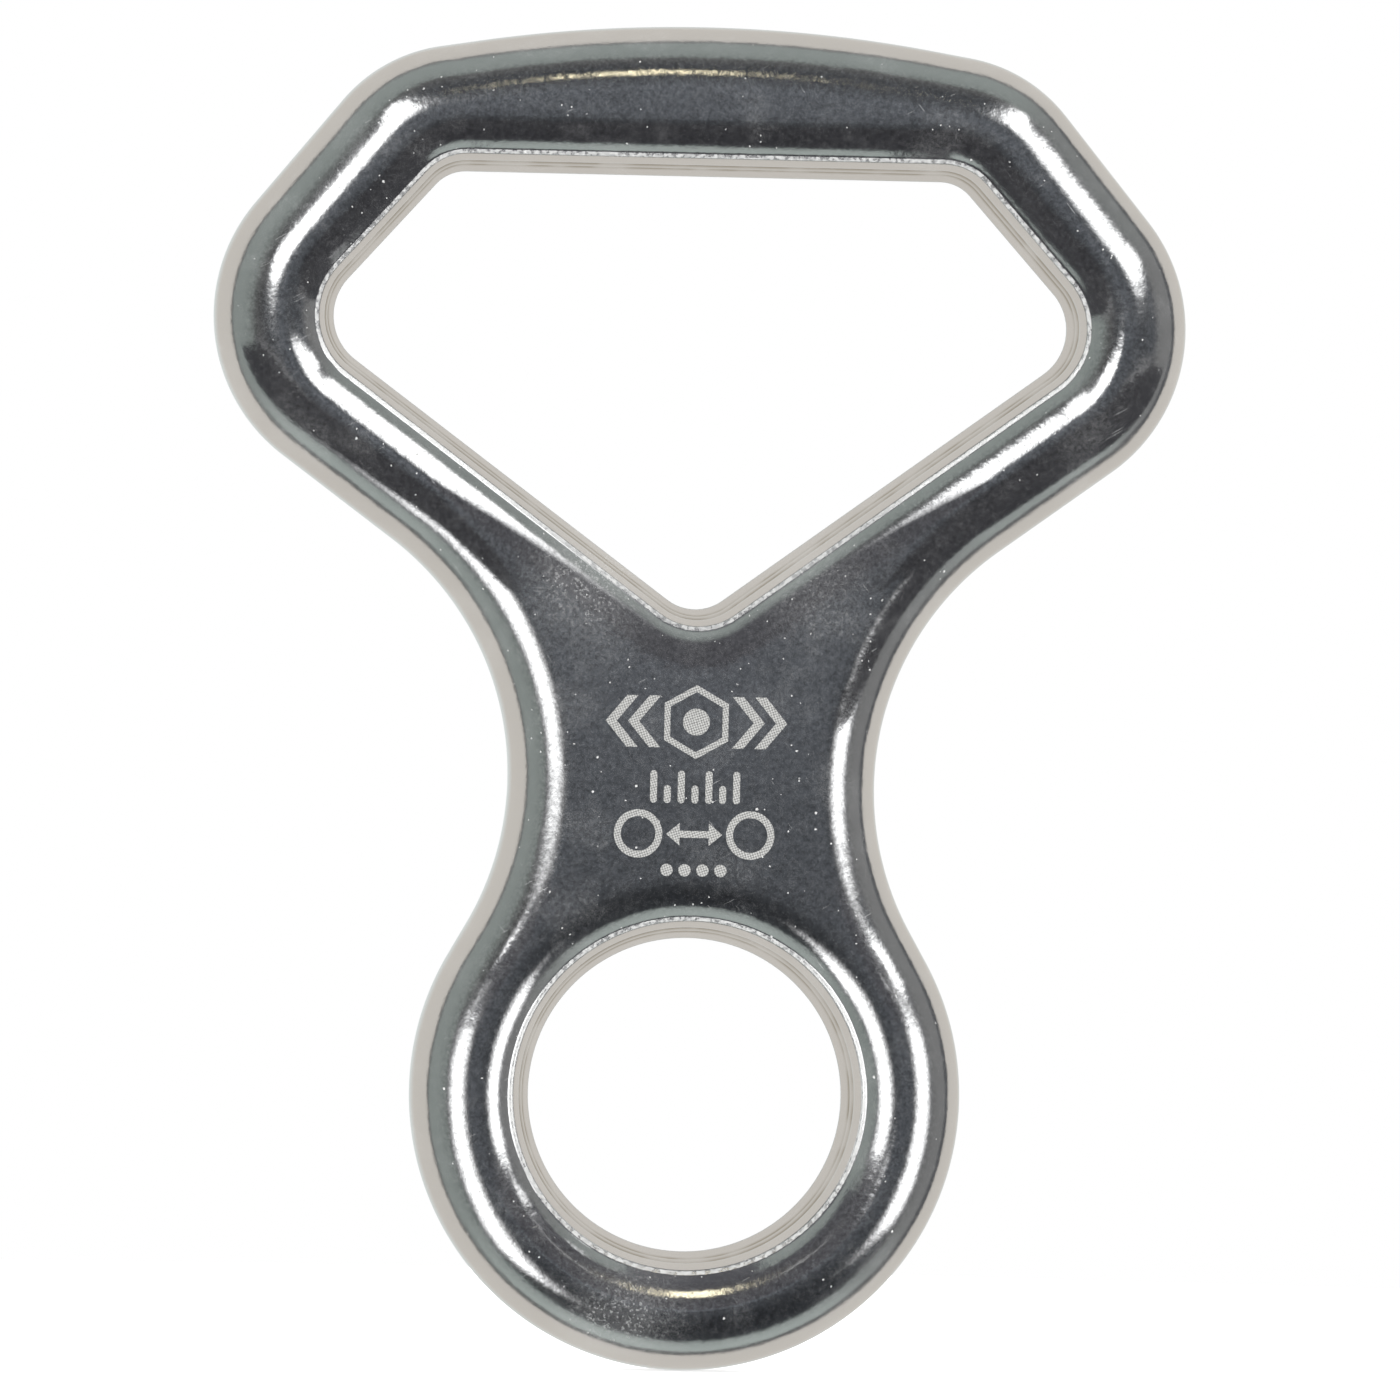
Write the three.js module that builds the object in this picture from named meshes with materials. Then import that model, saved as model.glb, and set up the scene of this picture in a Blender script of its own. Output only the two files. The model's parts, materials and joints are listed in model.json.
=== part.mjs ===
// Figure-eight belay device: one hot-forged, polished aluminium body. Millimetres.
//
// Frame: the origin is the centre of the small carabiner eye, half-way through the
// thickness. +Z points from the eye to the large rope opening, and the two flat faces
// of the body look along -Y (front) and +Y (back).

import * as THREE from 'three';

// Thickness and the section of the edges
const thickness = 12; // between the front and the back face
const roundingDepth = 5.8; // how far the rounding of the outer edge reaches in
const draftDepth = 1; // how much each opening widens from its middle to its lip
const lipDrop = 1.4; // how far the lip of an opening lies below the face
const shoulderDepth = 3.6; // from the middle of an opening to the edge of the face

// Small eye and the ring around it
const eyeRadius = 14; // clear radius, half-way through the thickness
const ringRadius = 24.65;

// Waist between the ring and the rope opening
const waistHalfWidth = 16.4;
const waistHeight = 27.9; // of its narrowest place
const waistRadius = 26.2;

// Outside of the rope opening
const topHeight = 95.35; // highest point above the eye's centre
const archRadius = 125; // the slightly arched top edge
const topCorner = { x: 21.5, z: 79.3, radius: 14 };
const sideCorner = { x: 27.9, z: 68.95, radius: 15.6 };

// Inside of the rope opening
const armWidth = 10.7; // metal between the two side corners, which share a centre
const openingTop = 82;
const openingCorner = { x: 21.2, radius: 3.6 };
const openingBottom = 43.35;
const openingBottomRadius = 4.1;

// Fineness of the faceting
const arcStep = THREE.MathUtils.degToRad(6);
const roundingSteps = 6;

const halfThickness = thickness / 2;

function range(first, count) {
  return Array.from({ length: count }, (_, i) => first + i);
}

// An outline is a belt around a closed list of rounds, listed anticlockwise. A round
// with a positive radius bulges, and one with a negative radius is hollow. Straight
// stretches join one round to the next. A list of one round is a circle.
function round(x, z, radius) {
  return { x, z, radius };
}

// The rounds of the right-hand side, followed by the one on the axis and the mirrored
// rounds of the left-hand side.
function symmetric(bottom, rightSide, top) {
  const leftSide = rightSide.map(({ x, z, radius }) => round(-x, z, radius)).reverse();
  return [bottom, ...rightSide, ...top, ...leftSide];
}

// The direction in which the belt leaves one round for the next, as the angle of its
// outward normal.
function leavingAngle(from, to) {
  const dx = to.x - from.x;
  const dz = to.z - from.z;
  const tilt = (from.radius - to.radius) / Math.hypot(dx, dz);
  return Math.atan2(dz, dx) - Math.acos(THREE.MathUtils.clamp(tilt, -1, 1));
}

// The turn from one normal to the next, in the direction in which the round bends.
function turnAround(radius, start, end) {
  const turn = THREE.MathUtils.euclideanModulo(end - start, 2 * Math.PI);
  return radius > 0 ? turn : turn - 2 * Math.PI;
}

// The points of one arc around a round, which starts and ends on a point.
function arcPoints({ x, z, radius }, outwards, start, turn) {
  const steps = Math.ceil(Math.abs(turn) / arcStep);
  const reach = radius + outwards;
  return range(0, steps + 1).map((step) => {
    const angle = start + (turn * step) / steps;
    return new THREE.Vector2(x + reach * Math.cos(angle), z + reach * Math.sin(angle));
  });
}

// The belt's points, with the whole outline moved outwards by a distance. Each moved
// copy has the same number of points in the same order.
function belt(rounds, outwards) {
  if (rounds.length === 1) {
    return arcPoints(rounds[0], outwards, 0, 2 * Math.PI).slice(1);
  }
  const normals = rounds.map((each, i) => leavingAngle(each, rounds[(i + 1) % rounds.length]));
  return rounds.flatMap((each, i) => {
    const start = normals.at(i - 1);
    return arcPoints(each, outwards, start, turnAround(each.radius, start, normals[i]));
  });
}

// The outer edge is a quarter ellipse from the middle of the thickness to the face.
function outerEdge() {
  const levels = [];
  for (let step = 0; step <= roundingSteps; step += 1) {
    const angle = (step / roundingSteps) * (Math.PI / 2);
    levels.push({
      outwards: -roundingDepth * (1 - Math.cos(angle)),
      height: halfThickness * Math.sin(angle),
    });
  }
  return levels;
}

// An opening has a drafted wall up to its lip, and then a shoulder up to the face.
function openingEdge() {
  return [
    { outwards: 0, height: 0 },
    { outwards: draftDepth, height: halfThickness - lipDrop },
    { outwards: shoulderDepth, height: halfThickness },
  ];
}

// All levels of an edge from the back face to the front face.
function bothHalves(levels) {
  const back = levels.slice(1).map(({ outwards, height }) => ({ outwards, height: -height }));
  return [...back.reverse(), ...levels];
}

// One closed solid: a wall around the outside, a wall around each opening, and the two
// flat faces between them.
function plateGeometry(outside, openings) {
  const positions = [];
  const triangles = [];

  // Adds the rings of points of one wall, and the triangles between them. Returns the
  // first point's number and the points of the outline at each face.
  function addWall(rounds, levels, facesOut) {
    const rings = levels.map(({ outwards }) => belt(rounds, outwards));
    const count = rings[0].length;
    const first = positions.length / 3;
    rings.forEach((ring, level) => {
      ring.forEach((point) => positions.push(point.x, point.y, levels[level].height));
    });
    for (let level = 0; level < levels.length - 1; level += 1) {
      for (let i = 0; i < count; i += 1) {
        const a = first + level * count + i;
        const b = first + level * count + ((i + 1) % count);
        const corners = facesOut ? [a, b, b + count, a + count] : [b, a, a + count, b + count];
        triangles.push(corners[0], corners[1], corners[2]);
        triangles.push(corners[0], corners[2], corners[3]);
      }
    }
    return { first, last: first + (levels.length - 1) * count, count, outline: rings[0] };
  }

  const walls = [
    addWall(outside, bothHalves(outerEdge()), true),
    ...openings.map((rounds) => addWall(rounds, bothHalves(openingEdge()), false)),
  ];

  const [contour, ...holes] = walls.map(({ outline }) => outline);
  const backNumbers = walls.flatMap(({ first, count }) => range(first, count));
  const frontNumbers = walls.flatMap(({ last, count }) => range(last, count));
  THREE.ShapeUtils.triangulateShape(contour, holes).forEach(([a, b, c]) => {
    triangles.push(frontNumbers[a], frontNumbers[b], frontNumbers[c]);
    triangles.push(backNumbers[c], backNumbers[b], backNumbers[a]);
  });

  const geometry = new THREE.BufferGeometry();
  geometry.setAttribute('position', new THREE.Float32BufferAttribute(positions, 3));
  geometry.setIndex(triangles);
  geometry.rotateX(Math.PI / 2); // stands the plate up, with its front face towards -Y
  geometry.computeVertexNormals();
  return geometry;
}

function bodyRounds() {
  return symmetric(
    round(0, 0, ringRadius),
    [
      round(waistHalfWidth + waistRadius, waistHeight, -waistRadius),
      round(sideCorner.x, sideCorner.z, sideCorner.radius),
      round(topCorner.x, topCorner.z, topCorner.radius),
    ],
    [round(0, topHeight - archRadius, archRadius)],
  );
}

function ropeOpeningRounds() {
  return symmetric(
    round(0, openingBottom + openingBottomRadius, openingBottomRadius),
    [
      round(sideCorner.x, sideCorner.z, sideCorner.radius - armWidth),
      round(openingCorner.x, openingTop - openingCorner.radius, openingCorner.radius),
    ],
    [],
  );
}

const polishedAluminium = new THREE.MeshStandardMaterial({
  name: 'polished_aluminium',
  color: 0xc9ccca,
  roughness: 0.18,
  metalness: 1,
});

const body = new THREE.Mesh(
  plateGeometry(bodyRounds(), [ropeOpeningRounds(), [round(0, 0, eyeRadius)]]),
  polishedAluminium,
);
body.name = 'forged_body';

const figureEight = new THREE.Group();
figureEight.add(body);

export default figureEight;
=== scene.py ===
"""Figure-eight belay device: the looks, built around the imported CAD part.

The body is one polished aluminium forging. It is rebuilt here as one fine mesh: three
bands that follow the outline and the two openings, joined by two flat faces. Outlines
and sections are worked out in millimetres, in the frame of the CAD part: X across, Z
from the small eye to the rope opening, and the marked front face towards -Y.
"""

import json
import math
from typing import NamedTuple

import bpy
import numpy as np
from mathutils import Matrix, Vector, geometry, kdtree


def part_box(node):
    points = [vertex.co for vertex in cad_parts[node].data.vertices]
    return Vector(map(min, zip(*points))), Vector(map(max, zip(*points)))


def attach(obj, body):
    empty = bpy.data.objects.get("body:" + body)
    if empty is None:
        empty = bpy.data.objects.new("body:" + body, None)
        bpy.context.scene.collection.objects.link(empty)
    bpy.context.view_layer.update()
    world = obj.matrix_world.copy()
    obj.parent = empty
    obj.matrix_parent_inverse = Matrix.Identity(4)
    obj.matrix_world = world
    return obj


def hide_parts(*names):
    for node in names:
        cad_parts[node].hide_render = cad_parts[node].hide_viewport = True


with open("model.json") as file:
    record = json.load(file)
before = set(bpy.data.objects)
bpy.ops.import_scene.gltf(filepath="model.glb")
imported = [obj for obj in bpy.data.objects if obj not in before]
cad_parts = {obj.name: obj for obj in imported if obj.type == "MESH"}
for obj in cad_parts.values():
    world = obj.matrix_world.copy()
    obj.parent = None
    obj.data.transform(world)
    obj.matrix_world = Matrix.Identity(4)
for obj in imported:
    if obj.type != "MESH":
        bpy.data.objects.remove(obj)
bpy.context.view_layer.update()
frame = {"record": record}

MM = 0.001
BODY_NODE = "forged_body"

# ---------------------------------------------------------------- dimensions, in mm

body_low, body_high = (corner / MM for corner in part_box(BODY_NODE))
mounts = {mount["name"]: mount for mount in frame["record"]["mounts"]}

HALF_THICKNESS = body_high.y
RING_RADIUS = -body_low.z
TOP_HEIGHT = body_high.z
EYE_RADIUS = mounts["carabiner_eye"]["dims"]["r_mm"]

WAIST_HALF_WIDTH = 16.4
WAIST_HEIGHT = 27.9
WAIST_RADIUS = 26.2
ARCH_RADIUS = 125
TOP_CORNER = (21.5, 79.3, 14)  # x, z, radius
SIDE_CORNER_RADIUS = 15.6
SIDE_CORNER = (body_high.x - SIDE_CORNER_RADIUS, 68.95, SIDE_CORNER_RADIUS)

ARM_WIDTH = 10.7
OPENING_TOP = 82
OPENING_CORNER_X = 21.2
OPENING_CORNER_RADIUS = 3.6
OPENING_BOTTOM = 43.35
OPENING_BOTTOM_RADIUS = 4.1

# The rounding of the outer edge is a quarter ellipse. It reaches deeper into the arms than
# into the ring, and the edge of an opening makes room for it.
ROUNDING_DEPTH = 5.4
ARM_ROUNDING_DEPTH = 5.65
ROUNDING_GROWS = (34, 60)  # heights between which the depth changes
ROUNDING_ROWS = 24
PARTING_LINE = 0.5  # how dark the line at half thickness is

# The edge of an opening: the slope of its surface, in degrees, at each distance from the
# narrowest line of the opening. It eases down from the face, flattens on the lip and then
# turns into the steep drafted wall, which ends at half thickness.
OPENING_SLOPES = (
    (5.15, 0),
    (5.0, 4.5),
    (4.6, 10.5),
    (3.9, 19),
    (3.1, 29),
    (2.75, 34),
    (2.15, 38.5),
    (1.95, 24),
    (1.82, 12),
    (1.7, 22),
    (1.55, 52),
    (1.35, 70),
    (1.2, 75),
)
OPENING_ROW_STEPS = ((3.2, 0.3), (2.2, 0.14), (0, 0.07))  # beyond this distance, this step
LIP = (1.6, 2.0)  # the distances between which the lip is worn

# The wall has two shallow grooves, at shares of its height, which the material darkens as
# painted shade. Both sizes are in mm.
WALL_ROW_STEP = 0.2
GROOVES = ((0.72, 0.1), (0.5, 0.05))  # share of the height, depth
GROOVE_WIDTH = 0.2

CONTOUR_STEP = 0.5  # between the points along an outline
FACE_STEP = 1.1  # between the points on the flat faces
FACE_CLEARANCE = 0.6 * FACE_STEP  # between those points and the outlines
SAME_POINT = 1e-6

# The loops around the flat faces are numbered: first the outside, and then the openings.
OPENING_LOOPS = {1, 2}
NO_LOOP = -1

# The camera's place around the object, in degrees, and its view in mm
VIEW_AZIMUTH = -3.8
VIEW_ROLL = -1.2
VIEW_WIDTH = 125.05  # of the whole frame, at the middle of the thickness
VIEW_CENTRE = (0.67, 35.27)
VIEW_DISTANCE = 1500
NEAREST_SEEN, FARTHEST_SEEN = 0.1, 10  # in metres

# ---------------------------------------------------------------- outlines


def body_rounds():
    """The rounds of the outside, anticlockwise from the ring. A hollow one is negative."""
    side = [
        (WAIST_HALF_WIDTH + WAIST_RADIUS, WAIST_HEIGHT, -WAIST_RADIUS),
        SIDE_CORNER,
        TOP_CORNER,
    ]
    top = (0, TOP_HEIGHT - ARCH_RADIUS, ARCH_RADIUS)
    return [(0, 0, RING_RADIUS), *side, top, *mirrored(side)]


def rope_opening_rounds():
    x, z, radius = SIDE_CORNER
    side = [
        (x, z, radius - ARM_WIDTH),
        (OPENING_CORNER_X, OPENING_TOP - OPENING_CORNER_RADIUS, OPENING_CORNER_RADIUS),
    ]
    bottom = (0, OPENING_BOTTOM + OPENING_BOTTOM_RADIUS, OPENING_BOTTOM_RADIUS)
    return [bottom, *side, *mirrored(side)]


def mirrored(rounds):
    return [(-x, z, radius) for x, z, radius in reversed(rounds)]


def leaving_angle(start, end):
    """The angle of the outward normal where the belt leaves one round for the next."""
    dx, dz = end[0] - start[0], end[1] - start[1]
    tilt = (start[2] - end[2]) / math.hypot(dx, dz)
    return math.atan2(dz, dx) - math.acos(tilt)


def belt(rounds):
    """Points along the belt around the rounds, and their outward normals."""
    if len(rounds) == 1:
        x, z, radius = rounds[0]
        count = round(2 * math.pi * radius / CONTOUR_STEP)
        angles = np.arange(count) * 2 * math.pi / count
        normals = np.stack([np.cos(angles), np.sin(angles)], 1)
        return np.array([x, z]) + radius * normals, normals

    following = rounds[1:] + rounds[:1]
    leaving = [leaving_angle(a, b) for a, b in zip(rounds, following)]
    points, normals = [], []
    for i, (x, z, radius) in enumerate(rounds):
        start = leaving[i - 1]
        turn = (leaving[i] - start) % (2 * math.pi)
        if radius < 0:
            turn -= 2 * math.pi
        steps = max(2, math.ceil(abs(turn * radius) / CONTOUR_STEP))
        arc = start + turn * np.arange(steps + 1) / steps
        arc_normals = np.stack([np.cos(arc), np.sin(arc)], 1)
        points.append(np.array([x, z]) + radius * arc_normals)
        normals.append(arc_normals)

        x, z, radius = following[i]
        landing = np.array([x, z]) + radius * arc_normals[-1]
        straight = landing - points[-1][-1]
        steps = math.ceil(np.linalg.norm(straight) / CONTOUR_STEP)
        share = np.arange(1, steps)[:, None] / max(steps, 1)
        points.append(points[-1][-1] + share * straight)
        normals.append(np.repeat(arc_normals[-1:], len(share), 0))
    return np.concatenate(points), np.concatenate(normals)


# ---------------------------------------------------------------- sections


class Row(NamedTuple):
    """One row of points along an outline, how worn the metal is there, and how dark it is
    painted: a seam at the parting line, or shade in a groove.
    """

    outwards: float
    height: float
    worn: float = 0.0
    seam_and_crease_shade: float = 0.0


def outer_section():
    """The rows from half thickness, where the parting line is, to the face."""
    angles = np.linspace(0, math.pi / 2, ROUNDING_ROWS)
    return [
        Row(
            -ROUNDING_DEPTH * (1 - math.cos(angle)),
            HALF_THICKNESS * math.sin(angle),
            seam_and_crease_shade=PARTING_LINE if angle == 0 else 0.0,
        )
        for angle in angles
    ]


def opening_section():
    """The same for an opening: its wall and then its lip, worked out from the slopes."""
    reaches, slopes = zip(*OPENING_SLOPES[::-1])
    fine_step = 0.01
    fine = np.arange(reaches[-1], reaches[0], -fine_step)
    gradients = np.tan(np.radians(np.interp(fine, reaches, slopes)))
    heights = HALF_THICKNESS - np.cumsum(gradients) * fine_step
    distance = reaches[-1]
    rows = [Row(distance, HALF_THICKNESS)]
    while distance > reaches[0]:
        step = next(step for beyond, step in OPENING_ROW_STEPS if distance > beyond)
        distance = max(distance - step, reaches[0])
        height = float(np.interp(distance, fine[::-1], heights[::-1]))
        rows.append(Row(distance, height, worn=float(LIP[0] < distance < LIP[1])))
    lip_distance, lip_height = rows[-1].outwards, rows[-1].height
    steps = round(lip_height / WALL_ROW_STEP)
    for step in range(1, steps + 1):
        left = 1 - step / steps
        offsets = [(left - share) * lip_height for share, _ in GROOVES]
        in_grooves = [math.exp(-((offset / GROOVE_WIDTH) ** 2)) for offset in offsets]
        sunk = sum(depth * inside for inside, (_, depth) in zip(in_grooves, GROOVES))
        # The rows in the grooves are marked for the material to darken, as painted shade.
        rows.append(Row(lip_distance * left + sunk, lip_height * left, seam_and_crease_shade=max(in_grooves)))
    return rows[::-1]


def section_stretch(z, is_opening):
    """How many times as wide as its drawing a section is at a height."""
    low_end, high_end = ROUNDING_GROWS
    share = np.clip((z - low_end) / (high_end - low_end), 0, 1)
    share = share * share * (3 - 2 * share)
    growth = (ARM_ROUNDING_DEPTH - ROUNDING_DEPTH) * share
    if is_opening:
        return 1 - growth / OPENING_SLOPES[0][0]
    return 1 + growth / ROUNDING_DEPTH


def moved_points(outline, outwards):
    """The outline moved outwards, by more or less where its section is stretched."""
    points, normals, is_opening = outline
    stretch = section_stretch(points[:, 1], is_opening)
    return points + (outwards * stretch)[:, None] * normals


# ---------------------------------------------------------------- the forged body


class MeshParts:
    """Vertices in millimetres and faces, collected into one mesh."""

    def __init__(self):
        self.vertices = []
        self.faces = []
        self.worn = {}
        self.seam_and_crease_shade = {}

    def ring(self, outline, row, side):
        first = len(self.vertices)
        moved = moved_points(outline, row.outwards)
        self.vertices.extend((x, side * row.height, z) for x, z in moved)
        numbers = list(range(first, first + len(moved)))
        self.worn.update(dict.fromkeys(numbers, row.worn))
        self.seam_and_crease_shade.update(dict.fromkeys(numbers, row.seam_and_crease_shade))
        return numbers

    def bridge(self, lower, upper, faces_out):
        count = len(lower)
        for i in range(count):
            j = (i + 1) % count
            face = (lower[i], lower[j], upper[j], upper[i])
            self.faces.append(face if faces_out else face[::-1])


def add_band(parts, outline, section, faces_out):
    """The wall around one outline. Returns its last rings at the front and the back."""
    middle = parts.ring(outline, section[0], 1)
    ends = []
    for side in (-1, 1):
        previous = middle
        for row in section[1:]:
            current = parts.ring(outline, row, side)
            parts.bridge(previous, current, faces_out == (side == -1))
            previous = current
        ends.append(previous)
    return ends


def face_points(loops):
    """A grid of points on the flat faces, clear of the loops around them."""
    tree = kdtree.KDTree(sum(len(points) for points, _ in loops))
    facts = []
    for points, normals in loops:
        for point, normal in zip(points, normals):
            tree.insert((point[0], point[1], 0), len(facts))
            facts.append((point, normal))
    tree.balance()
    inside = []
    for z in np.arange(body_low.z, body_high.z, FACE_STEP):
        for x in np.arange(body_low.x, body_high.x, FACE_STEP):
            _, index, distance = tree.find((x, z, 0))
            point, normal = facts[index]
            into_metal = -np.dot(np.array([x, z]) - point, normal)
            if distance > FACE_CLEARANCE and into_metal > 0:
                inside.append((x, z))
    return inside


def loop_edges(loops):
    """The edges that close each loop, and for each point the number of its loop."""
    edges = []
    owners = []
    for number, (points, _) in enumerate(loops):
        first = len(owners)
        count = len(points)
        edges += [(first + i, first + (i + 1) % count) for i in range(count)]
        owners += [number] * count
    return edges, owners


def fill_faces(parts, loops, rings_front, rings_back):
    """Triangulates the flat face between the three loops, on the front and the back."""
    edges, owners = loop_edges(loops)
    loop_points = [tuple(point) for points, _ in loops for point in points]
    extra = face_points(loops)
    owners += [NO_LOOP] * len(extra)
    vertices = [Vector(point) for point in loop_points + extra]
    inside_only = 1
    _, _, triangles, originals, _, _ = geometry.delaunay_2d_cdt(
        vertices, edges, [], inside_only, SAME_POINT
    )
    numbers_front = [number for ring in rings_front for number in ring]
    numbers_back = [number for ring in rings_back for number in ring]
    for x, z in extra:
        numbers_front.append(len(parts.vertices))
        parts.vertices.append((x, -HALF_THICKNESS, z))
        numbers_back.append(len(parts.vertices))
        parts.vertices.append((x, HALF_THICKNESS, z))
    for triangle in triangles:
        corners = [originals[i][0] for i in triangle]
        touched = {owners[corner] for corner in corners}
        lies_in_opening = len(touched) == 1 and touched <= OPENING_LOOPS
        if lies_in_opening:
            continue
        a, b, c = (vertices[corner] for corner in corners)
        if (b - a).cross(c - a) < 0:
            corners.reverse()
        parts.faces.append([numbers_front[corner] for corner in corners])
        parts.faces.append([numbers_back[corner] for corner in reversed(corners)])


def make_object(name, vertices, faces, smooth=True):
    mesh = bpy.data.meshes.new(name)
    mesh.from_pydata([Vector(vertex) * MM for vertex in vertices], [], faces)
    mesh.validate()
    if smooth:
        mesh.shade_smooth()
    made = bpy.data.objects.new(name, mesh)
    bpy.context.scene.collection.objects.link(made)
    return made


def make_body():
    """The forging as one mesh, which knows where it is worn and where it is painted dark: the
    seam, and the shade in the grooves.
    """
    parts = MeshParts()
    eye_rounds = [(0, 0, EYE_RADIUS)]
    outlines = [  # points, normals, and whether it is an opening
        (*belt(body_rounds()), False),
        (*belt(rope_opening_rounds()), True),
        (*belt(eye_rounds), True),
    ]
    sections = [outer_section(), opening_section(), opening_section()]
    ends = []
    loops = []
    for outline, section in zip(outlines, sections):
        is_opening = outline[2]
        ends.append(add_band(parts, outline, section, not is_opening))
        normals = -outline[1] if is_opening else outline[1]
        loops.append((moved_points(outline, section[-1].outwards), normals))
    fill_faces(parts, loops, [front for front, _ in ends], [back for _, back in ends])
    body = make_object("forging", parts.vertices, parts.faces)
    count = len(parts.vertices)
    for name, values in (("worn", parts.worn), ("seam_and_crease_shade", parts.seam_and_crease_shade)):
        layer = body.data.attributes.new(name, "FLOAT", "POINT")
        layer.data.foreach_set("value", [values.get(i, 0.0) for i in range(count)])
    return body


# ---------------------------------------------------------------- the etched marks

# Generic marks without lettering, on the web of the front face, in four rows. Heights are
# above the eye's centre, and every size is in mm.
STROKE = 0.62
BADGE_HEIGHT, BADGE_RADIUS, BADGE_DOT = 33.3, 3.3, 1.2
CHEVRON_REACHES, CHEVRON_DEPTH, CHEVRON_RISE, CHEVRON_WIDTH = (8.1, 6.1), 1.9, 2.3, 1.0
TICKS_HEIGHT, TICKS_REACH, TICK_COUNT, TICK_LENGTHS = 27.5, 3.7, 7, (2.9, 1.6)
SIZES_HEIGHT, SIZES_REACH, SIZES_RADIUS = 23.3, 5.0, 1.85
ARROW_REACH, ARROW_HEAD, ARROW_RISE = 2.5, 1.2, 1.0
DOTS_HEIGHT, DOTS_REACH, DOT_COUNT, DOT_RADIUS = 20.1, 2.4, 4, 0.55
MARK_PROUD = 0.012  # how far the marks stand out of the face, and how far they reach into it
MARK_SUNK = 0.05
CIRCLE_STEPS = 48
ROUND_END_STEPS = 12
HEXAGON_STEPS = 6


def add_plate(parts, outline, holes=()):
    """A thin plate on the front face, from an anticlockwise outline with holes."""
    loops = [[Vector((x, z, 0)) for x, z in loop] for loop in (outline, *holes)]
    flat = [point for loop in loops for point in loop]
    first = len(parts.vertices)
    count = len(flat)
    for y in (-HALF_THICKNESS - MARK_PROUD, -HALF_THICKNESS + MARK_SUNK):
        parts.vertices.extend((point.x, y, point.y) for point in flat)
    for triangle in geometry.tessellate_polygon(loops):
        a, b, c = (flat[corner] for corner in triangle)
        turn = 1 if (b - a).cross(c - a).z > 0 else -1
        corners = triangle[::turn]
        parts.faces.append([first + corner for corner in corners])
        parts.faces.append([first + count + corner for corner in reversed(corners)])
    start = first
    for loop in loops:
        for i in range(len(loop)):
            a, b = start + i, start + (i + 1) % len(loop)
            parts.faces.append((b, a, a + count, b + count))
        start += len(loop)


def arc(x, z, radius, start=0.0, turn=2 * math.pi, steps=CIRCLE_STEPS):
    """Points along an arc, without the last one of a full circle."""
    full = abs(turn) >= 2 * math.pi
    angles = [start + turn * i / steps for i in range(steps if full else steps + 1)]
    return [(x + radius * math.cos(angle), z + radius * math.sin(angle)) for angle in angles]


def add_circle_line(parts, x, z, radius):
    hole = arc(x, z, radius - STROKE / 2, turn=-2 * math.pi)
    add_plate(parts, arc(x, z, radius + STROKE / 2), [hole])


def add_tick(parts, x, foot, length):
    """An upright stroke with round ends."""
    half = STROKE / 2
    upper = arc(x, foot + length - half, half, 0, math.pi, ROUND_END_STEPS)
    lower = arc(x, foot + half, half, math.pi, math.pi, ROUND_END_STEPS)
    add_plate(parts, upper + lower)


def add_chevron(parts, side, reach):
    """A mitred chevron that points away from the middle of the badge."""
    z = BADGE_HEIGHT
    back = reach - CHEVRON_DEPTH
    outline = [
        (reach, z),
        (back, z + CHEVRON_RISE),
        (back - CHEVRON_WIDTH, z + CHEVRON_RISE),
        (reach - CHEVRON_WIDTH, z),
        (back - CHEVRON_WIDTH, z - CHEVRON_RISE),
        (back, z - CHEVRON_RISE),
    ]
    if side < 0:
        outline = [(-x, height) for x, height in reversed(outline)]
    add_plate(parts, outline)


def add_badge(parts):
    """A hexagon with a round centre, between two pairs of chevrons."""
    z = BADGE_HEIGHT
    first_corner = math.pi / 6
    outer = arc(0, z, BADGE_RADIUS, first_corner, steps=HEXAGON_STEPS)
    inner = arc(0, z, BADGE_RADIUS - STROKE, first_corner, -2 * math.pi, HEXAGON_STEPS)
    add_plate(parts, outer, [inner])
    add_plate(parts, arc(0, z, BADGE_DOT))
    for side in (-1, 1):
        for reach in CHEVRON_REACHES:
            add_chevron(parts, side, reach)


def add_ticks(parts):
    """A row of upright ticks of two lengths, on one line."""
    foot = TICKS_HEIGHT - max(TICK_LENGTHS) / 2
    for number, x in enumerate(np.linspace(-TICKS_REACH, TICKS_REACH, TICK_COUNT)):
        add_tick(parts, x, foot, TICK_LENGTHS[number % 2])


def add_sizes(parts):
    """Two rope circles and a double-headed arrow between them."""
    z = SIZES_HEIGHT
    for side in (-1, 1):
        add_circle_line(parts, side * SIZES_REACH, z, SIZES_RADIUS)
    neck = ARROW_REACH - ARROW_HEAD
    upper = [(ARROW_REACH, 0), (neck, ARROW_RISE), (neck, STROKE / 2)]
    upper += [(-x, rise) for x, rise in reversed(upper)]
    lower = [(x, -rise) for x, rise in upper[-2:0:-1]]
    add_plate(parts, [(x, z + rise) for x, rise in upper + lower])


def add_dots(parts):
    for x in np.linspace(-DOTS_REACH, DOTS_REACH, DOT_COUNT):
        add_plate(parts, arc(x, DOTS_HEIGHT, DOT_RADIUS))


def make_marks():
    parts = MeshParts()
    for add in (add_badge, add_ticks, add_sizes, add_dots):
        add(parts)
    return make_object("etched_marks", parts.vertices, parts.faces, smooth=False)


# ---------------------------------------------------------------- node helpers


class Patches(NamedTuple):
    """A noise, and the stretch of its values that fades from one level to another."""

    per_mm: float
    detail: float
    roughness: float
    low: float
    high: float
    to_low: float = 0.0
    to_high: float = 1.0


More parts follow.
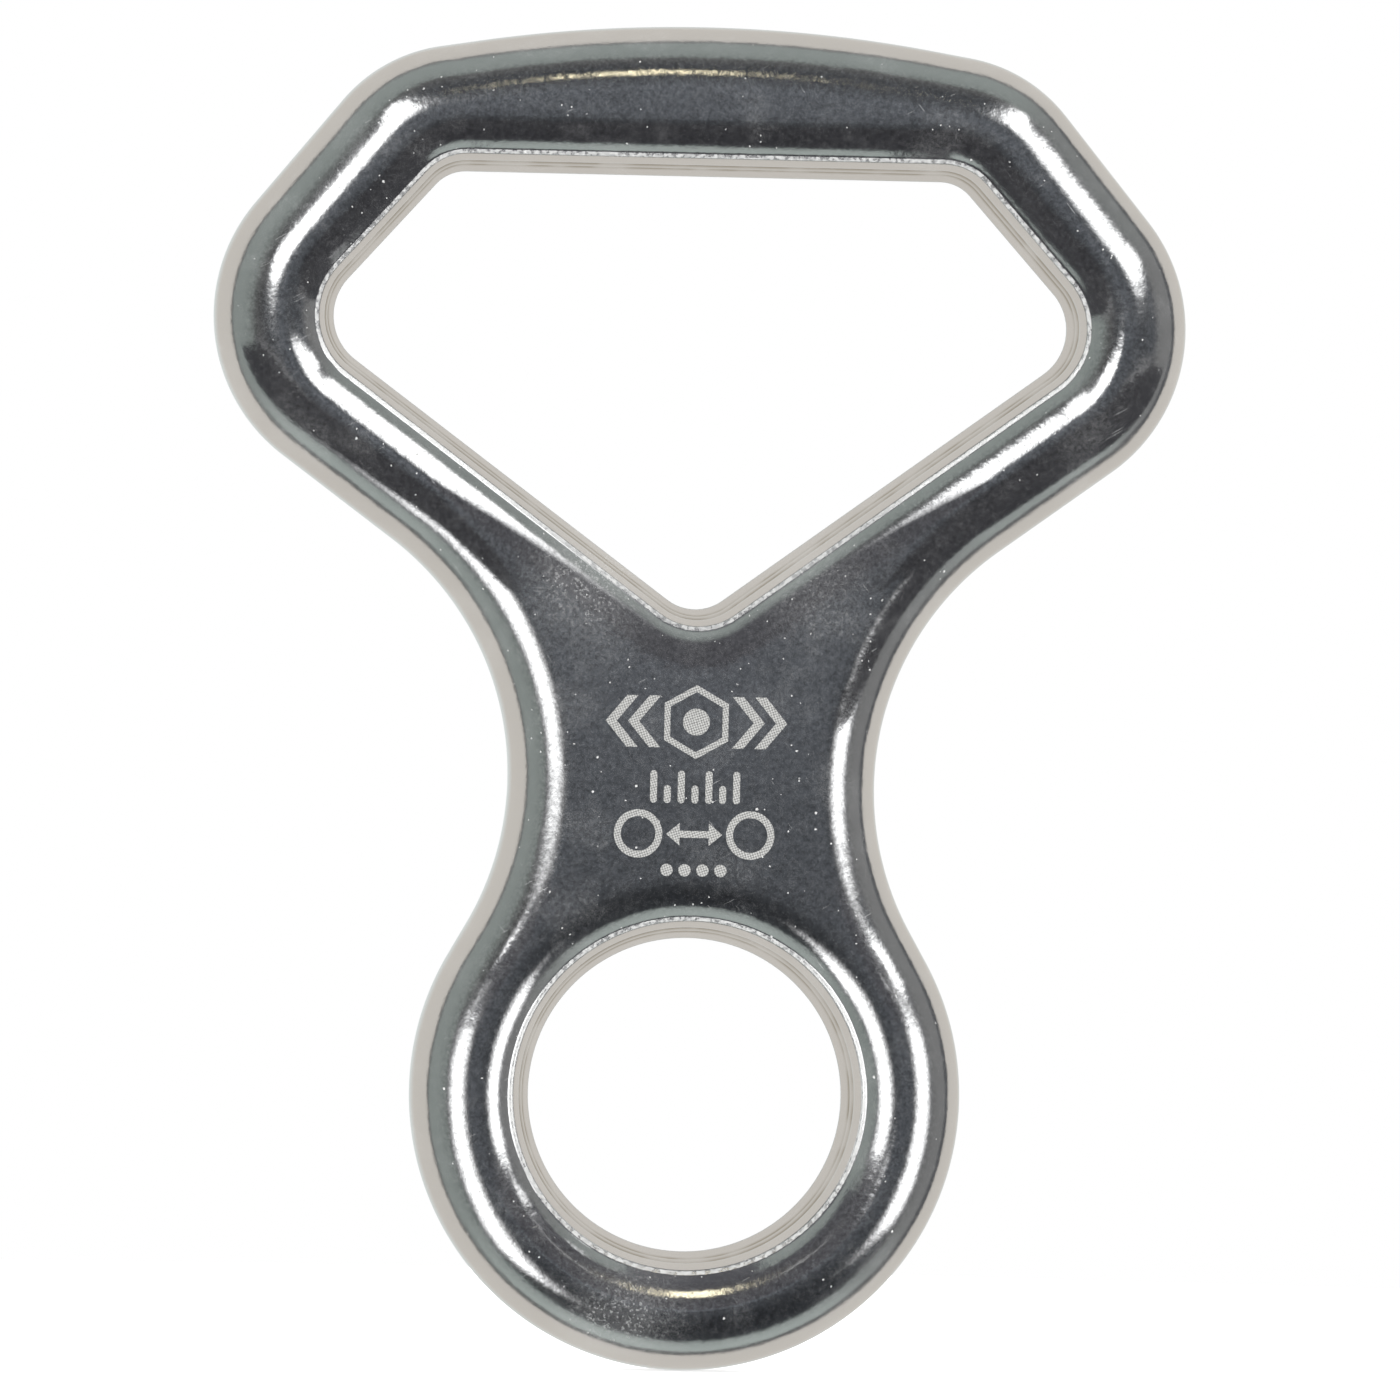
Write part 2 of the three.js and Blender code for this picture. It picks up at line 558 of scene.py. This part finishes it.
class Nodes:
    """Short ways to add nodes to one tree and link them."""

    # The colour sockets of a Mix node, which has sockets of the same name for each type
    MIX_FIRST, MIX_SECOND, MIX_RESULT = 6, 7, 2

    def __init__(self, tree):
        self.tree = tree
        tree.nodes.clear()

    def add(self, kind, inputs=(), **settings):
        node = self.tree.nodes.new(kind)
        for name, value in settings.items():
            setattr(node, name, value)
        for name, value in dict(inputs).items():
            self.feed(node.inputs[name], value)
        return node

    def feed(self, socket, value):
        if isinstance(value, bpy.types.NodeSocket):
            self.tree.links.new(value, socket)
        else:
            socket.default_value = value

    def math(self, operation, first, second=0.0):
        node = self.add("ShaderNodeMath", {0: first, 1: second}, operation=operation)
        return node.outputs[0]

    def vector(self, operation, first, second=(0, 0, 0), output=0):
        node = self.add("ShaderNodeVectorMath", {0: first, 1: second}, operation=operation)
        return node.outputs[output]

    def scale(self, vector, factor):
        inputs = {0: vector, "Scale": factor}
        return self.add("ShaderNodeVectorMath", inputs, operation="SCALE").outputs[0]

    def remap(self, value, low, high, to_low=0.0, to_high=1.0, smooth=True):
        kind = "SMOOTHSTEP" if smooth else "LINEAR"
        places = {0: value, 1: low, 2: high, 3: to_low, 4: to_high}
        return self.add("ShaderNodeMapRange", places, interpolation_type=kind).outputs[0]

    def mix(self, factor, first, second, blend="MIX"):
        node = self.add("ShaderNodeMix", data_type="RGBA", blend_type=blend)
        self.feed(node.inputs["Factor"], factor)
        self.feed(node.inputs[self.MIX_FIRST], first)
        self.feed(node.inputs[self.MIX_SECOND], second)
        return node.outputs[self.MIX_RESULT]

    def ramp(self, factor, stops):
        node = self.add("ShaderNodeValToRGB", {"Fac": factor})
        elements = node.color_ramp.elements
        while len(elements) < len(stops):
            elements.new(0.5)
        for element, (position, colour) in zip(elements, stops):
            element.position = position
            element.color = (*colour, 1)
        return node.outputs[0]

    def noise(self, vector, scale, detail=2.0, roughness=0.5):
        inputs = {"Vector": vector, "Scale": scale, "Detail": detail, "Roughness": roughness}
        return self.add("ShaderNodeTexNoise", inputs).outputs["Fac"]

    def patchy(self, vector, patches, smooth=True):
        noise = self.noise(vector, patches.per_mm, patches.detail, patches.roughness)
        low, high, to_low, to_high = patches[3:]
        return self.remap(noise, low, high, to_low, to_high, smooth)


# ---------------------------------------------------------------- materials

# Lengths are in mm. Dullness and haze run from 0 on clean polish to 1, and so does the brownish
# darkening: a dark seam at the parting line and painted shade in the wall's grooves.

METAL = (0.80, 0.805, 0.81)
DULL_METAL = (0.72, 0.72, 0.70, 1)
# A brownish darkening: a dark seam at the parting line, and painted shade in the grooves of the
# walls.
SEAM_AND_SHADE_COLOUR = (0.36, 0.33, 0.26, 1)
POLISHED_ROUGHNESS, DULL_ROUGHNESS, HALF_DULL = 0.13, 0.45, 0.5
SEAM_AND_SHADE_PATCHES = Patches(0.25, 2, 0.5, 0.35, 0.6, 0.25, 0.9)
LIP_CHIPS = Patches(2.2, 2, 0.6, 0.4, 0.6, 0.2, 0.6)

# The grain darkens the faces, and the small marks keep to them. Both fade in between two
# shares of the half thickness.
GRAIN = Patches(2.6, 4, 0.8, 0.3, 0.7, 0.5, 1.1)
NO_GRAIN = (0.97, 0.97, 0.97, 1)
GRAIN_FADES_IN = (0.78, 0.95)
MARKS_FADE_IN = (0.6, 0.85)

MOTTLE = Patches(1.6, 4, 0.65, 0.42, 0.7)
HAZE_PATCHES = Patches(0.16, 3, 0.55, 0.5, 0.66)
HAZE_FLECKS = Patches(3.6, 3, 0.7, 0.5, 0.66)
MOTTLE_HAZE, PATCH_HAZE, FLECK_HAZE = 0.022, 0.02, 0.06
WEAR = (  # x, z, reach and strength of each rubbed patch
    (-9.5, 46, 9, 3.6),
    (10, 46, 8, 2.2),
    (-5, -19, 8, 3.0),
)

SPECKS = ((0.55, 0.15), (1.3, 0.09))  # how many cells for each mm, and the radius
SPECKED_CELLS = 0.25  # share of the cells that have a speck
SPECK_CORE = 0.4  # share of the radius
RAGGED_PER_MM, RAGGED_SHIFT = 5.0, 0.22  # what makes the specks ragged
SCRATCHES = ((0.5, 0.72), (-0.9, 0.73))  # lean in radians, and rarity
SCRATCH_STRETCH = (0.25, 1.0, 8.0)
SCRATCH_EDGE = 0.04
SCRATCH_BREAKS = Patches(0.3, 2, 0.5, 0.5, 0.62)
SCRATCH_STRENGTH = 0.2
MARK_DULLNESS, MARK_RELIEF = 0.75, 0.012

RIPPLES = ((3.2, 0.006), (1.4, 0.006), (0.4, 0.03))  # how many for each mm, and the relief
WEB_MIDDLE, WEB_DOME, WEB_DOME_REACH = 28.5, 0.35, 24  # height above the eye, relief, reach

HATCH_STEP = 0.23  # between the lines of the etched crosshatch
HATCH_DIRECTIONS = ((1.0, 0.35), (-0.35, 1.0))  # across, up
HATCH_STRENGTH = 0.2
ETCHED_GRIT = (6.0, 2, 0.6)  # how many for each mm, detail, roughness
ETCHED_SHADES = (0.15, 0.85)  # the darkest and the lightest
ETCHED_DARK = (0.19, 0.19, 0.185, 1)
ETCHED_LIGHT = (0.50, 0.50, 0.485, 1)
ETCHED_RELIEF = 0.03


def new_material(name):
    material = bpy.data.materials.new(name)
    material.use_nodes = True
    return material, Nodes(material.node_tree)


def finish_material(nodes, shader):
    output = nodes.add("ShaderNodeOutputMaterial")
    nodes.feed(output.inputs["Surface"], shader.outputs[0])


def millimetres(nodes):
    """The place on the piece, in millimetres."""
    return nodes.scale(nodes.add("ShaderNodeTexCoord").outputs["Object"], 1 / MM)


def specks_in_cells(nodes, place, per_mm, radius):
    """Round specks in some of the cells of a random pattern, 1 inside and 0 outside."""
    cells = nodes.add("ShaderNodeTexVoronoi", {"Vector": place, "Scale": per_mm})
    edge = radius * per_mm
    dot = nodes.remap(cells.outputs["Distance"], edge, SPECK_CORE * edge)
    lot = nodes.add("ShaderNodeSeparateColor", {0: cells.outputs["Color"]}).outputs[0]
    return nodes.math("MULTIPLY", dot, nodes.math("LESS_THAN", lot, SPECKED_CELLS))


def scratches(nodes, place, lean, rarity):
    """Thin straight lines that lean by an angle, broken up into short strokes."""
    turned = nodes.add(
        "ShaderNodeVectorRotate", {"Vector": place, "Angle": lean}, rotation_type="Y_AXIS"
    ).outputs[0]
    stretched = nodes.vector("MULTIPLY", turned, SCRATCH_STRETCH)
    lines = nodes.remap(nodes.noise(stretched, 1.0, 1), rarity, rarity + SCRATCH_EDGE)
    return nodes.math("MULTIPLY", lines, nodes.patchy(place, SCRATCH_BREAKS))


def small_marks(nodes, place):
    """Specks of two sizes, and scratches that lean two ways."""
    noise = nodes.add("ShaderNodeTexNoise", {"Vector": place, "Scale": RAGGED_PER_MM})
    ragged = nodes.vector("ADD", place, nodes.scale(noise.outputs["Color"], RAGGED_SHIFT))
    large, small = (specks_in_cells(nodes, ragged, *each) for each in SPECKS)
    specks = nodes.math("MAXIMUM", large, small)
    lines = nodes.math("ADD", *(scratches(nodes, place, *each) for each in SCRATCHES))
    return nodes.math("ADD", specks, nodes.math("MULTIPLY", lines, SCRATCH_STRENGTH))


def attribute(nodes, name):
    return nodes.add("ShaderNodeAttribute", attribute_name=name).outputs["Fac"]


def towards_faces(nodes, place, fades_in):
    """0 at half thickness and 1 on both faces, fading in between two shares of the way."""
    y = nodes.add("ShaderNodeSeparateXYZ", {0: place}).outputs["Y"]
    low, high = fades_in
    return nodes.remap(nodes.math("ABSOLUTE", y), low * HALF_THICKNESS, high * HALF_THICKNESS)


def near_point(nodes, place, x, z, reach):
    """1 at a point of the front view and 0 beyond a distance from it, in mm."""
    flat = nodes.vector("MULTIPLY", place, (1, 0, 1))
    distance = nodes.vector("LENGTH", nodes.vector("SUBTRACT", flat, (x, 0, z)), output=1)
    return nodes.remap(distance, reach, 0.0)


def rope_wear(nodes, place):
    """Where the rope and the carabiner have rubbed the polish into a light mottle."""
    worn = 0.0
    for x, z, reach, strength in WEAR:
        spot = nodes.math("MULTIPLY", near_point(nodes, place, x, z, reach), strength)
        worn = nodes.math("MAXIMUM", spot, worn)
    return worn


def web_dome(nodes, place):
    """The web is very slightly domed, which only its reflections show."""
    return near_point(nodes, place, 0, WEB_MIDDLE, WEB_DOME_REACH)


def polish_haze(nodes, place):
    """How hazy the polish is: flecks in patches and where it is rubbed, and a mottle."""
    flecks = nodes.math("MULTIPLY", nodes.patchy(place, HAZE_FLECKS), FLECK_HAZE)
    flecks = nodes.math("ADD", flecks, PATCH_HAZE)
    patches = nodes.math("ADD", nodes.patchy(place, HAZE_PATCHES), rope_wear(nodes, place))
    mottle = nodes.math("MULTIPLY", nodes.patchy(place, MOTTLE), MOTTLE_HAZE)
    return nodes.math("ADD", nodes.math("MULTIPLY", flecks, patches), mottle)


def polish_bump(nodes, place, marks):
    """The relief of the dome and the ripples, with the marks sunk into it."""
    height = nodes.math("MULTIPLY", web_dome(nodes, place), WEB_DOME)
    for per_mm, relief in RIPPLES:
        ripples = nodes.math("MULTIPLY", nodes.noise(place, per_mm), relief)
        height = nodes.math("ADD", height, ripples)
    height = nodes.math("SUBTRACT", height, nodes.math("MULTIPLY", marks, MARK_RELIEF))
    return nodes.add("ShaderNodeBump", {"Height": height, "Distance": MM, "Strength": 1.0})


def polished_aluminium():
    """Tumbled and polished bare metal: soft ripples, fine grain, haze, specks, scratches."""
    material, nodes = new_material("polished_aluminium_surface")
    place = millimetres(nodes)
    marks = small_marks(nodes, place)
    marks = nodes.math("MULTIPLY", marks, towards_faces(nodes, place, MARKS_FADE_IN))
    chips = nodes.patchy(place, LIP_CHIPS)
    worn = nodes.math("MULTIPLY", attribute(nodes, "worn"), chips)
    dull = nodes.math("MULTIPLY", marks, MARK_DULLNESS)
    dull = nodes.math("ADD", polish_haze(nodes, place), dull)
    dull = nodes.math("MINIMUM", nodes.math("ADD", dull, worn), 1.0)
    # Darkens the parting line as a seam, and the grooves with painted shade.
    seam_and_shade = nodes.patchy(place, SEAM_AND_SHADE_PATCHES)
    seam_and_shade = nodes.math("MULTIPLY", attribute(nodes, "seam_and_crease_shade"), seam_and_shade)

    grain = nodes.patchy(place, GRAIN, smooth=False)
    grain = nodes.mix(towards_faces(nodes, place, GRAIN_FADES_IN), NO_GRAIN, grain)
    metal = nodes.mix(dull, nodes.vector("MULTIPLY", METAL, grain), DULL_METAL)
    roughness = nodes.remap(dull, 0.0, HALF_DULL, POLISHED_ROUGHNESS, DULL_ROUGHNESS)
    shader = nodes.add(
        "ShaderNodeBsdfPrincipled",
        {
            "Base Color": nodes.mix(seam_and_shade, metal, SEAM_AND_SHADE_COLOUR),
            "Metallic": nodes.math("SUBTRACT", 1.0, dull),
            "Roughness": roughness,
            "Normal": polish_bump(nodes, place, marks).outputs[0],
        },
    )
    finish_material(nodes, shader)
    return material


def etched_aluminium():
    """Frosted metal with the fine crosshatch of a laser."""
    material, nodes = new_material("etched_aluminium_surface")
    place = millimetres(nodes)
    split = nodes.add("ShaderNodeSeparateXYZ", {0: place})
    hatch = []
    for across, up in HATCH_DIRECTIONS:
        along_x = nodes.math("MULTIPLY", split.outputs["X"], across)
        along_z = nodes.math("MULTIPLY", split.outputs["Z"], up)
        along = nodes.math("ADD", along_x, along_z)
        turns = nodes.math("MULTIPLY", along, 2 * math.pi / HATCH_STEP)
        hatch.append(nodes.math("SINE", turns))
    weave = nodes.math("MULTIPLY", nodes.math("ADD", *hatch), HATCH_STRENGTH)
    grit = nodes.noise(place, *ETCHED_GRIT)
    shade = nodes.math("ADD", weave, grit)
    tone = nodes.remap(shade, *ETCHED_SHADES)
    height = nodes.math("MULTIPLY", shade, ETCHED_RELIEF)
    bump = nodes.add("ShaderNodeBump", {"Height": height, "Distance": MM})
    shader = nodes.add(
        "ShaderNodeBsdfPrincipled",
        {
            "Base Color": nodes.mix(tone, ETCHED_DARK, ETCHED_LIGHT),
            "Metallic": nodes.remap(tone, 0, 1, 0.3, 0.1),
            "Roughness": nodes.remap(grit, 0.3, 0.7, 0.45, 0.65),
            "Normal": bump.outputs[0],
        },
    )
    finish_material(nodes, shader)
    return material


# ---------------------------------------------------------------- the studio

# The metal reflects a chart around it. The chart's axis is the direction that the flat
# front face reflects to the camera, and a place in the chart is (across, up) in degrees
# from that axis. The surroundings are dark around the axis, grey farther out, and pale
# from behind the object, each as (degrees from the axis, brightness, tint).
COOL, PLAIN, WARM = (0.93, 1.0, 1.12), (1, 1, 1), (1.06, 1.0, 0.92)
GREEN, PALE_GREEN = (0.94, 1.04, 0.99), (0.97, 1.02, 1.0)
BEHIND = ((145, 0.62, WARM), (168, 0.76, PALE_GREEN), (180, 0.8, PALE_GREEN))
ABOVE = (
    (0, 0.12, COOL), (5, 0.16, COOL), (12, 0.11, COOL), (26, 0.075, COOL), (42, 0.07, COOL),
    (60, 0.12, PLAIN), (66, 0.3, GREEN), (95, 0.32, GREEN), (100, 0.16, PLAIN),
    (105, 0.62, WARM),
)
BELOW = (
    (0, 0.12, COOL), (5, 0.07, COOL), (20, 0.045, COOL), (38, 0.035, COOL), (63, 0.042, COOL),
    (70, 0.4, GREEN), (89, 0.46, GREEN), (94, 0.12, PLAIN), (98, 0.13, PLAIN),
    (103, 0.62, WARM),
)
LEFT = (
    (0, 0.12, COOL), (25, 0.065, COOL), (45, 0.1, PLAIN), (62, 0.27, GREEN),
    (96, 0.29, GREEN), (100, 0.09, PLAIN), (105, 0.62, WARM),
)
RIGHT = (
    (0, 0.12, COOL), (30, 0.07, COOL), (52, 0.09, COOL), (66, 0.2, PLAIN),
    (94, 0.21, PLAIN), (99, 0.07, COOL), (103, 0.07, COOL), (107, 0.62, WARM),
)

LEAN_POWER = 4.0  # how sharply one of the four gives way to the next

# Softboxes far away: place in the chart, half sizes and lean in degrees, softness, light
SOFTBOXES = (
    ((-21.5, 13.4), (13, 7), -32, 0.6, (2.6, 2.6, 2.6)),
    ((-20.9, 26.8), (20, 5.5), -52, 0.5, (2.4, 2.4, 2.4)),
    ((35.6, 22.3), (19, 7.5), 32, 0.65, (2.4, 2.4, 2.4)),
    ((26, 33), (22, 6), 52, 0.45, (2.3, 2.3, 2.3)),
    ((-1, 33), (0.5, 4.5), 0, 0.7, (7.5, 6.6, 4.4)),
)
# Upright softboxes beside the ring and the waist: name, middle (across, towards the
# camera), half width, lowest and highest point, in mm
STRIPS = (
    ("softbox_left", (-108, 134), 63, (-150, 50)),
    ("softbox_right", (112, 110), 53, (-88, 52)),
)
STRIP_LIGHT, STRIP_EDGE = (2.6, 2.6, 2.6, 1), (0.16, 0.16, 0.165, 1)
STRIP_FADES = (("X", 0.46), ("Z", 0.2))  # shares of the width and the height

# Level cards, which only rays from one side see, from above (1) or from below (-1). The
# dark ones keep the lights off some stretches, and the warm one lights the ring's foot.
# Name, side, from and to across, from and to towards the camera, height, how far it fades
# in from its edge near the object (all in mm), colour
DARK, DIM, LAMP = (0.045, 0.045, 0.05), (0.09, 0.09, 0.1), (3.0, 2.7, 1.9)
CARDS = (
    ("shelf_left", 1, (-145, -20), (9, 140), 43, 5, DARK),
    ("shelf_middle", 1, (-20, 20), (19, 140), 45, 2, DARK),
    ("shelf_right", 1, (20, 145), (9, 140), 45, 5, DARK),
    ("right_low", 1, (20, 145), (14, 50), 32, 2, DARK),
    ("ring", -1, (-70, 60), (62, 400), 20, 2, DIM),
    ("eye", -1, (-40, 34), (26, 62), 20, 2, DIM),
    ("middle", -1, (-24, 24), (8, 200), 56, 7, DIM),
    ("warm", -1, (-1.6, 1.2), (28, 45), 10, 5, LAMP),
)
FILL_LIGHT = 1.55  # on dull surfaces, from all around
WHITE = (1, 1, 1, 1)
BLACK = (0, 0, 0, 1)

FLOOR_RADIUS = 260
FLOOR_STEPS = 96
FLOOR_COLOUR, FLOOR_ROUGHNESS = (0.9, 0.9, 0.9, 1), 0.9
FLOOR_GLOW = 0.6  # lifts the floor to the white of the background


def chart_direction(nodes):
    """The direction of a ray as (across, away from the camera, up) in the chart's frame."""
    return nodes.add(
        "ShaderNodeVectorRotate",
        {
            "Vector": nodes.add("ShaderNodeTexCoord").outputs["Generated"],
            "Angle": math.radians(VIEW_AZIMUTH),
        },
        rotation_type="Z_AXIS",
    ).outputs[0]


def surroundings(nodes, theta, across, up):
    """The four gradients, each weighted by how far the direction leans its way."""
    away = nodes.math("DIVIDE", theta, math.pi)
    colour = BLACK
    total = 0.0
    ways = ((up, 1, ABOVE), (up, -1, BELOW), (across, -1, LEFT), (across, 1, RIGHT))
    for value, sign, places in ways:
        stops = [
            (degrees / 180, [brightness * share for share in tint])
            for degrees, brightness, tint in places + BEHIND
        ]
        lean = nodes.math("MAXIMUM", nodes.math("MULTIPLY", value, sign), 0.0)
        weight = nodes.math("POWER", lean, LEAN_POWER)
        total = nodes.math("ADD", weight, total)
        weighted = nodes.mix(weight, BLACK, nodes.ramp(away, stops))
        colour = nodes.mix(1.0, colour, weighted, "ADD")
    return nodes.scale(colour, nodes.math("DIVIDE", 1.0, total))


def with_softboxes(nodes, colour, flat, degrees):
    """Adds elliptical softboxes to the chart."""
    chart = nodes.scale(flat, degrees)
    for centre, half, lean, softness, light in SOFTBOXES:
        offset = nodes.vector("SUBTRACT", chart, (*centre, 0))
        if lean:
            turn = {"Vector": offset, "Angle": -math.radians(lean)}
            offset = nodes.add("ShaderNodeVectorRotate", turn, rotation_type="Z_AXIS").outputs[0]
        distance = nodes.vector("LENGTH", nodes.vector("DIVIDE", offset, (*half, 1)), output=1)
        mask = nodes.remap(distance, 1 - softness / 2, 1 + softness / 2, 1, 0)
        colour = nodes.mix(mask, colour, (*light, 1))
    return colour


def studio_world():
    """White for the camera, even light for dull surfaces, and the chart for reflections."""
    world = bpy.data.worlds.new("studio")
    bpy.context.scene.world = world
    world.use_nodes = True
    nodes = Nodes(world.node_tree)
    x, y, z = nodes.add("ShaderNodeSeparateXYZ", {0: chart_direction(nodes)}).outputs
    theta = nodes.math("ARCCOSINE", nodes.math("MULTIPLY", y, -1.0))
    sideways = nodes.add("ShaderNodeCombineXYZ", {"X": x, "Y": z}).outputs[0]
    flat = nodes.vector("NORMALIZE", sideways)
    across, up, _ = nodes.add("ShaderNodeSeparateXYZ", {0: flat}).outputs

    colour = surroundings(nodes, theta, across, up)
    degrees = nodes.math("MULTIPLY", theta, 180 / math.pi)
    colour = with_softboxes(nodes, colour, flat, degrees)

    path = nodes.add("ShaderNodeLightPath")
    fill = (FILL_LIGHT, FILL_LIGHT, FILL_LIGHT, 1)
    lit = nodes.mix(path.outputs["Is Glossy Ray"], fill, colour)
    seen = nodes.mix(path.outputs["Is Camera Ray"], lit, WHITE)
    background = nodes.add("ShaderNodeBackground", {"Color": seen, "Strength": 1.0})
    output = nodes.add("ShaderNodeOutputWorld")
    nodes.feed(output.inputs["Surface"], background.outputs[0])


def add_card(name, corners, material):
    """A card in the chart's frame, which only reflections see."""
    card = make_object(name, corners, [(0, 1, 2, 3)], smooth=False)
    card.rotation_euler.z = -math.radians(VIEW_AZIMUTH)
    card.data.materials.append(material)
    card.visible_camera = False
    card.visible_diffuse = False
    card.visible_shadow = False


def softbox_material():
    """Bright in the middle, and fading towards the edges."""
    material, nodes = new_material("softbox")
    place = nodes.add("ShaderNodeTexCoord").outputs["Generated"]
    split = nodes.add("ShaderNodeSeparateXYZ", {0: place})
    glow = 1.0
    for axis, fade in STRIP_FADES:
        offset = nodes.math("ABSOLUTE", nodes.math("SUBTRACT", split.outputs[axis], 0.5))
        glow = nodes.math("MULTIPLY", nodes.remap(offset, 0.5, 0.5 - fade), glow)
    colour = nodes.mix(glow, STRIP_EDGE, STRIP_LIGHT)
    finish_material(nodes, nodes.add("ShaderNodeEmission", {"Color": colour}))
    return material


def level_card_material(name, colour, near, fade):
    """Fades in from the near edge, and isn't there at all for rays from behind."""
    material, nodes = new_material(name)
    place = nodes.add("ShaderNodeSeparateXYZ", {0: millimetres(nodes)})
    towards = nodes.math("MULTIPLY", place.outputs["Y"], -1.0)
    shown = nodes.remap(towards, near, near + fade)
    behind = nodes.add("ShaderNodeNewGeometry").outputs["Backfacing"]
    shown = nodes.math("MULTIPLY", shown, nodes.math("SUBTRACT", 1.0, behind))
    clear = nodes.add("ShaderNodeBsdfTransparent").outputs[0]
    shade = nodes.add("ShaderNodeEmission", {"Color": (*colour, 1)}).outputs[0]
    finish_material(nodes, nodes.add("ShaderNodeMixShader", {0: shown, 1: clear, 2: shade}))
    return material


def make_softboxes_and_cards():
    """The upright softboxes, turned to face the object's axis, and the level cards."""
    glow = softbox_material()
    for name, (across, towards), half_width, (bottom, top) in STRIPS:
        tangent = Vector((towards, across)).normalized() * half_width
        near = (across - tangent.x, -towards - tangent.y)
        far = (across + tangent.x, -towards + tangent.y)
        corners = [(*near, bottom), (*far, bottom), (*far, top), (*near, top)]
        add_card(name, corners, glow)
    for name, side, (left, right), (near, far), height, fade, colour in CARDS:
        around = ((left, -far), (right, -far), (right, -near), (left, -near))
        corners = [(x, y, height) for x, y in around[::side]]
        name = f"card_{name}"
        add_card(name, corners, level_card_material(name, colour, near, fade))


def make_floor():
    """A round floor under the ring, which the metal doesn't reflect."""
    rim = [(x, y, body_low.z) for x, y in arc(0, 0, FLOOR_RADIUS, steps=FLOOR_STEPS)]
    floor = make_object("floor", rim, [list(range(FLOOR_STEPS))], smooth=False)
    material, nodes = new_material("pale_floor")
    shader = nodes.add(
        "ShaderNodeBsdfPrincipled",
        {
            "Base Color": FLOOR_COLOUR,
            "Roughness": FLOOR_ROUGHNESS,
            "Emission Color": WHITE,
            "Emission Strength": FLOOR_GLOW,
        },
    )
    finish_material(nodes, shader)
    floor.data.materials.append(material)
    floor.visible_glossy = False


# ---------------------------------------------------------------- the camera


def make_camera():
    """A long lens, almost square to the front, that leans with the object in the frame."""
    data = bpy.data.cameras.new("camera")
    data.lens = data.sensor_width * VIEW_DISTANCE / VIEW_WIDTH
    data.clip_start = NEAREST_SEEN
    data.clip_end = FARTHEST_SEEN
    camera = bpy.data.objects.new("camera", data)
    azimuth = math.radians(VIEW_AZIMUTH)
    x, z = VIEW_CENTRE
    back = VIEW_DISTANCE * Vector((math.sin(azimuth), -math.cos(azimuth), 0))
    camera.location = (Vector((x, 0, z)) + back) * MM
    turn = Matrix.Rotation(azimuth, 4, "Z")
    roll = Matrix.Rotation(math.radians(VIEW_ROLL), 4, "Y")
    level = Matrix.Rotation(math.pi / 2, 4, "X")
    camera.rotation_euler = (turn @ roll @ level).to_euler()
    bpy.context.scene.collection.objects.link(camera)
    bpy.context.scene.camera = camera


# ---------------------------------------------------------------- everything together

body = make_body()
body.data.materials.append(polished_aluminium())
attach(body, "root")
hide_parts(BODY_NODE)

marks = make_marks()
marks.data.materials.append(etched_aluminium())
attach(marks, "root")

studio_world()
make_softboxes_and_cards()
make_floor()
make_camera()
bpy.context.scene.view_settings.view_transform = "Standard"
